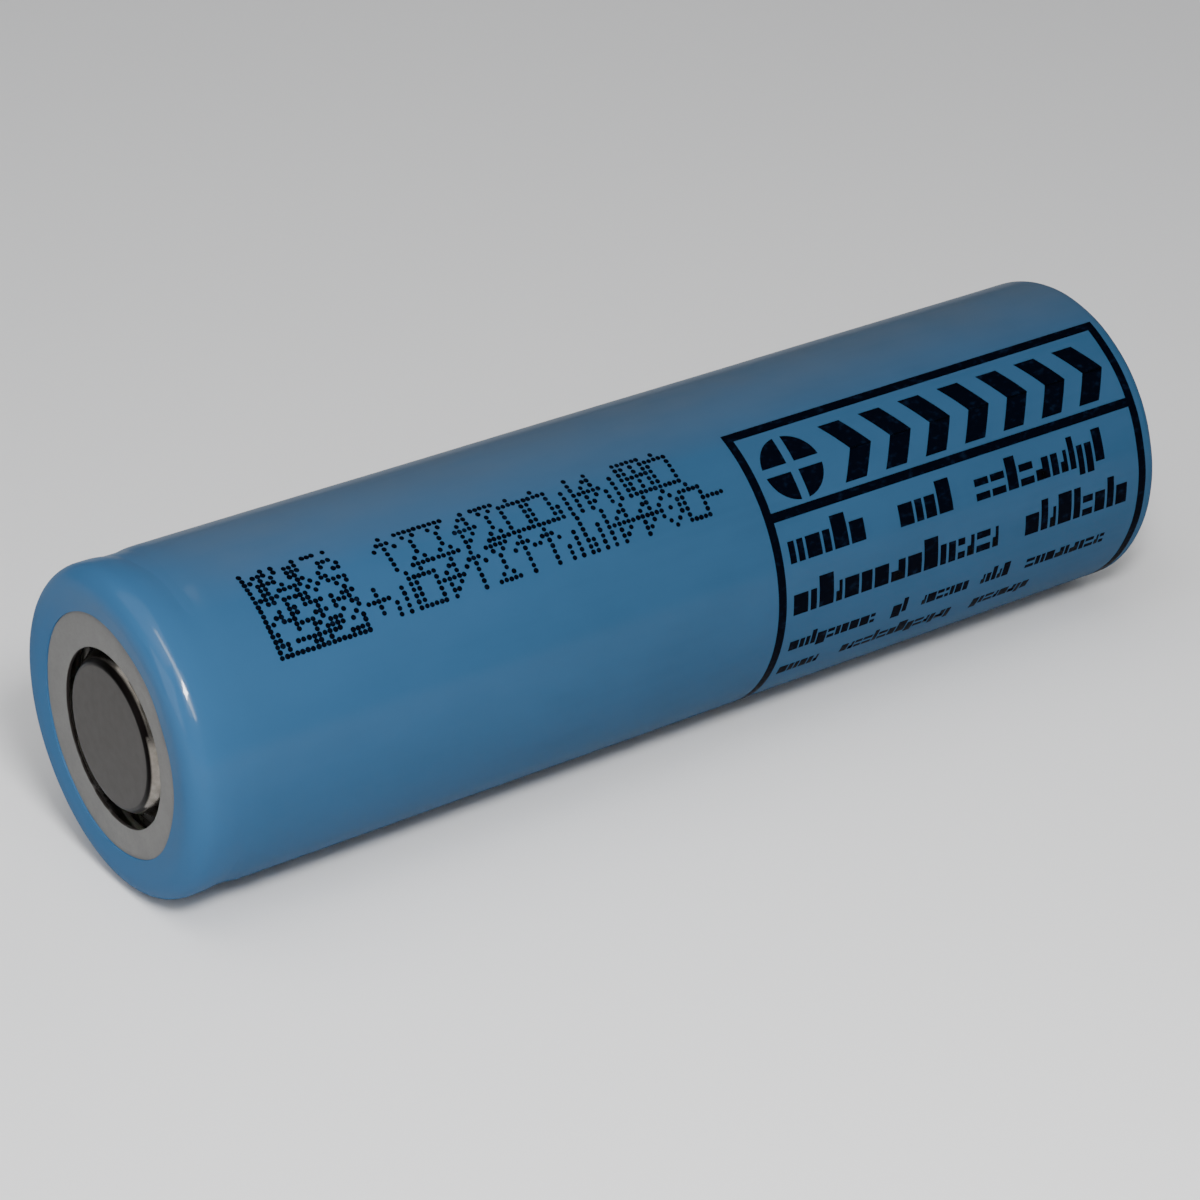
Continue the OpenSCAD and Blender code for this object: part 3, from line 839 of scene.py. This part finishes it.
def panel_row(name, words, low, high, weight):
    """A row of blocks of mixed heights, grouped like words, that stands for lines of small print."""
    draw = random.Random(name)
    layer = Print()
    height = high - low
    base = high - 0.2 * height
    waistline = low + 0.27 * height
    for start, end in words:
        u = from_middle(start)
        stop = from_middle(end)
        while u < stop - weight:
            width = weight * draw.choice((1.0, 1.2, 1.8, 2.4))
            width = min(width, stop - u)
            kind = draw.choice(("low", "low", "low", "high", "deep", "split", "step"))
            top = low if kind == "high" else waistline
            foot = high if kind == "deep" else base
            if kind == "split":
                third = (base - waistline) / 3
                layer.bar(u, u + width, waistline, waistline + third)
                layer.bar(u, u + width, base - third, base)
            elif kind == "step":
                layer.bar(u, u + width / 2, (waistline + base) / 2, base)
                layer.bar(u + width / 2, u + width, waistline, base)
            else:
                layer.bar(u, u + width, top, foot)
            u += width + weight * 0.45
    return layer.mesh(name)


# ---------------------------------------------------------------- the positive end and the can


def ring_mesh():
    """The punched fibre ring: soft edges, and a slightly uneven hole."""
    edge = 0.05 * MM
    u0, u1 = RING_U, RING_U + RING_T
    middle = (u0 + u1) / 2
    corners = [
        (middle, RING_HOLE_R, 0),
        (u0, RING_HOLE_R, edge),
        (u0, RING_R, edge),
        (u1, RING_R, edge),
        (u1, RING_HOLE_R, edge),
        (middle, RING_HOLE_R, 0),
    ]

    def uneven(u, r, turn):
        near_hole = max(0, 1 - (r - RING_HOLE_R) / (0.4 * MM))
        inner = (RING_R - r) / (RING_R - RING_HOLE_R)
        r += 0.012 * MM * wave(turn, 31, 40) * near_hole
        r += RING_HOLE_OFF * math.cos(math.radians(turn - RING_HOLE_TURN)) * inner
        u += 0.004 * MM * wave(turn, 37, 7) * (1 if u < middle else 0)
        return u, r

    profile = spaced(fillet(corners, math.radians(22)), lambda u: 0.25 * MM)
    return revolved("fibre_ring", profile[:-1], 240, True, uneven)


def cap_profile(depth):
    """The cap's outline at a depth under its outer face, from the middle of the button to its rim."""
    top = CAP_U + depth
    edge = max(BUTTON_EDGE - depth, 0.02 * MM)
    foot = FLANGE_U + depth
    corners = [
        (top, 0, 0),
        (top, BUTTON_R - depth, edge),
        (foot, LEG_FOOT_R - depth, 0.12 * MM + depth / 2),
        (foot, FLANGE_R, 0),
    ]
    return fillet(corners, math.radians(12))


def is_window(turn):
    """True inside one of the vent windows between the legs."""
    spacing = 360 / LEG_COUNT
    off = abs((turn - LEG_TURN) % spacing - spacing / 2)
    return off < spacing * WINDOW_SHARE / 2


def cap_mesh():
    """The stamped cap: a button on three legs that spread into a flat flange."""
    count = 288
    edge_step = 360 / count
    outer = spaced(cap_profile(0), lambda u: 0.14 * MM)
    bm = bmesh.new()
    rings = []
    for u, r in outer:
        rings.append([bm.verts.new(place(u, r, k * edge_step)) for k in range(count)])
    window_top = CAP_U + CAP_T
    window_foot = FLANGE_U
    for (low, high), (u_low, _), (u_high, r_high) in zip(zip(rings, rings[1:]), outer, outer[1:]):
        middle = (u_low + u_high) / 2
        inside = window_top < middle < window_foot and BUTTON_R * 0.9 < r_high < LEG_FOOT_R * 1.1
        for k in range(count):
            n = (k + 1) % count
            if not (inside and is_window((k + 0.5) * edge_step)):
                bm.faces.new((low[k], low[n], high[n], high[k]))
    mesh = finished(bm, "terminal_cap", math.radians(60))
    return mesh


def thicken(piece, thickness):
    """Gives a sheet its thickness inwards, then softens the cut edges."""
    solid = piece.modifiers.new("sheet", "SOLIDIFY")
    solid.thickness = thickness
    solid.offset = -1
    solid.use_even_offset = True
    soft = piece.modifiers.new("soft_edges", "BEVEL")
    soft.width = 0.04 * MM
    soft.segments = 2
    soft.limit_method = "ANGLE"
    soft.angle_limit = math.radians(50)
    joined = piece.modifiers.new("no_slivers", "WELD")
    joined.merge_threshold = 0.0001 * MM


def can_profile():
    """The can from the middle of its floor, over the wall and the crimped rim, back to the floor."""
    outer_r = CELL_R - FILM_T
    inner_r = outer_r - CAN_WALL
    face = CELL_L - FILM_T
    floor = face - CAN_FLOOR
    half, dent = 0.15 * MM, 0.05 * MM
    weld_r, weld_dent = 0.85 * MM, 0.03 * MM
    top = FILM_T
    rim = RING_U + RING_T
    lip = rim + CAN_WALL
    seat = RING_R + 0.05 * MM
    mouth = GROOVE_HALF_W
    bead = mouth + CAN_WALL
    fine = 0.05 * MM
    return [
        (face - weld_dent / 3, 0, 0),
        (face - weld_dent, weld_r * 0.7, fine),
        (face - weld_dent, weld_r * 0.9, fine),
        (face, weld_r * 1.15, fine),
        (face, STAMP_R - half, fine),
        (face - dent, STAMP_R - half / 2, fine),
        (face - dent, STAMP_R + half / 2, fine),
        (face, STAMP_R + half, fine),
        (face, outer_r, BOTTOM_ROUND - FILM_T),
        (GROOVE_U + mouth, outer_r, 0.2 * MM),
        (GROOVE_U + mouth, GROOVE_R, mouth * 0.95),
        (GROOVE_U - mouth, GROOVE_R, mouth * 0.95),
        (GROOVE_U - mouth, outer_r, 0.2 * MM),
        (top, outer_r, TOP_ROUND - FILM_T),
        (top, seat + 0.3 * MM, 0.1 * MM),
        (rim, seat, 0.05 * MM),
        (rim, CRIMP_R, 0.06 * MM),
        (lip, CRIMP_R, 0.06 * MM),
        (lip, seat + 0.1 * MM, 0.05 * MM),
        (top + CAN_WALL, seat + 0.4 * MM, 0.1 * MM),
        (top + CAN_WALL, inner_r, TOP_ROUND - FILM_T - CAN_WALL),
        (GROOVE_U - bead, inner_r, 0.05 * MM),
        (GROOVE_U - bead, GROOVE_R - CAN_WALL, bead * 0.95),
        (GROOVE_U + bead, GROOVE_R - CAN_WALL, bead * 0.95),
        (GROOVE_U + bead, inner_r, 0.1 * MM),
        (floor, inner_r, BOTTOM_ROUND - FILM_T - CAN_WALL),
        (floor, 0, 0),
    ]


def can_mesh():
    """The drawn can, sunk with the film over its groove."""

    def sunk(u, r, turn):
        on_wall = 1 if r > GROOVE_R + GROOVE_HALF_W and u > TOP_ROUND else 0
        return u, r - waist(u) * 1.16 * on_wall

    def longest(u):
        return 0.3 * MM if u < 6 * MM else 8 * MM

    profile = spaced(fillet(can_profile(), math.radians(15)), longest)
    return revolved("can_body", profile, 240, False, sunk)


# ---------------------------------------------------------------- the pieces


def add_print():
    """Every printed layer on the sleeve."""
    ink = ink_material()
    names = list(MARKS)[:8]
    draw = random.Random(53)
    upper = [draw.choice(names) for _ in range(12)]
    lower = ["plus"] + [draw.choice(names) for _ in range(13)] + ["dash"]
    pitch = 1.6 * MM
    meshes = [
        code_block(),
        dotted_line("print_upper_line", upper, from_middle(-18.4), pitch, 21.4, 34.4),
        dotted_line("print_lower_line", lower, from_middle(-20.2), 1.56 * MM, 36.4, 49.2),
        panel_frame(),
        panel_icon(),
        panel_heading(),
        panel_row("print_row_a", [(5.5, 11.4), (13.3, 17.2), (18.9, 28.6)], 62.6, 77.5, 0.42 * MM),
        panel_row("print_row_b", [(5.5, 20.6), (22.4, 30.2)], 82, 97, 0.42 * MM),
        panel_row("print_row_c", [(5.6, 12), (13, 14.2), (15.2, 18.6), (19.6, 22), (23, 29.3)], 103.5, 111.6, 0.26 * MM),
        panel_row("print_row_d", [(5.5, 8.5), (10, 18.3), (19.7, 24.2)], 116.5, 124.3, 0.26 * MM),
    ]
    for mesh in meshes:
        add_piece(mesh.name, mesh, ink)


def dress_nodes():
    """Gives each CAD part that stays its own material."""
    aluminium = metal_material("aluminium_sheet", (0.62, 0.63, 0.64), (0.74, 0.75, 0.76), 0.32, 0.1 * MM)
    foil = metal_material("aluminium_foil", (0.72, 0.73, 0.74), (0.82, 0.83, 0.84), 0.22, 0.06 * MM, 8)
    copper = metal_material("copper_foil", (0.62, 0.27, 0.15), (0.78, 0.38, 0.24), 0.25, 0.06 * MM, 8)
    nickel = metal_material("nickel_strip", (0.5, 0.48, 0.43), (0.64, 0.61, 0.55), 0.28, 0.08 * MM, 6)
    gasket = plastic_material("gasket_plastic", (0.62, 0.62, 0.57), (0.7, 0.7, 0.66), 0.42)
    holder = plastic_material("holder_plastic", (0.68, 0.68, 0.65), (0.76, 0.76, 0.73), 0.4)
    separator = plastic_material("separator_film", (0.78, 0.78, 0.76), (0.86, 0.86, 0.84), 0.6)
    graphite = coating_material("graphite_coating", (0.03, 0.03, 0.034), (0.06, 0.06, 0.065), 0.5)
    oxide = coating_material("oxide_coating", (0.012, 0.012, 0.014), (0.028, 0.027, 0.03), 0.3)
    fibre = fibre_material("fibre_paper")
    tape = tape_material()
    looks = {
        "crimp_gasket": gasket,
        "burst_disc": aluminium,
        "cid_insulator": holder,
        "cid_plate": aluminium,
        "positive_tab": foil,
        "positive_tab_tape": tape,
        "upper_insulator_disc": fibre,
        "inner_separator": separator,
        "anode_coating_inner": graphite,
        "anode_foil": copper,
        "anode_coating_outer": graphite,
        "outer_separator": separator,
        "cathode_coating_inner": oxide,
        "cathode_foil": foil,
        "cathode_coating_outer": oxide,
        "roll_closing_tape": tape,
        "negative_tab": nickel,
        "negative_tab_tape": tape,
        "lower_insulator_disc": fibre,
    }
    for name, material in looks.items():
        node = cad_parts[name]
        node.data.materials.clear()
        node.data.materials.append(material)


def build():
    """All of the scene."""
    add_camera()
    add_floor()
    add_lights()
    dress_nodes()
    add_piece("shrink_sleeve_film", sleeve_mesh(), film_material(), ["shrink_sleeve"])
    add_print()
    punched = fibre_material("fibre_paper_punched", place(0, RING_HOLE_OFF, RING_HOLE_TURN))
    add_piece("fibre_ring", ring_mesh(), punched, ["top_insulator_ring"])
    cap = add_piece("terminal_cap", cap_mesh(), cap_material(), ["positive_cap"])
    thicken(cap, CAP_T)
    add_piece("can_body", can_mesh(), can_material(), ["steel_can"])


build()
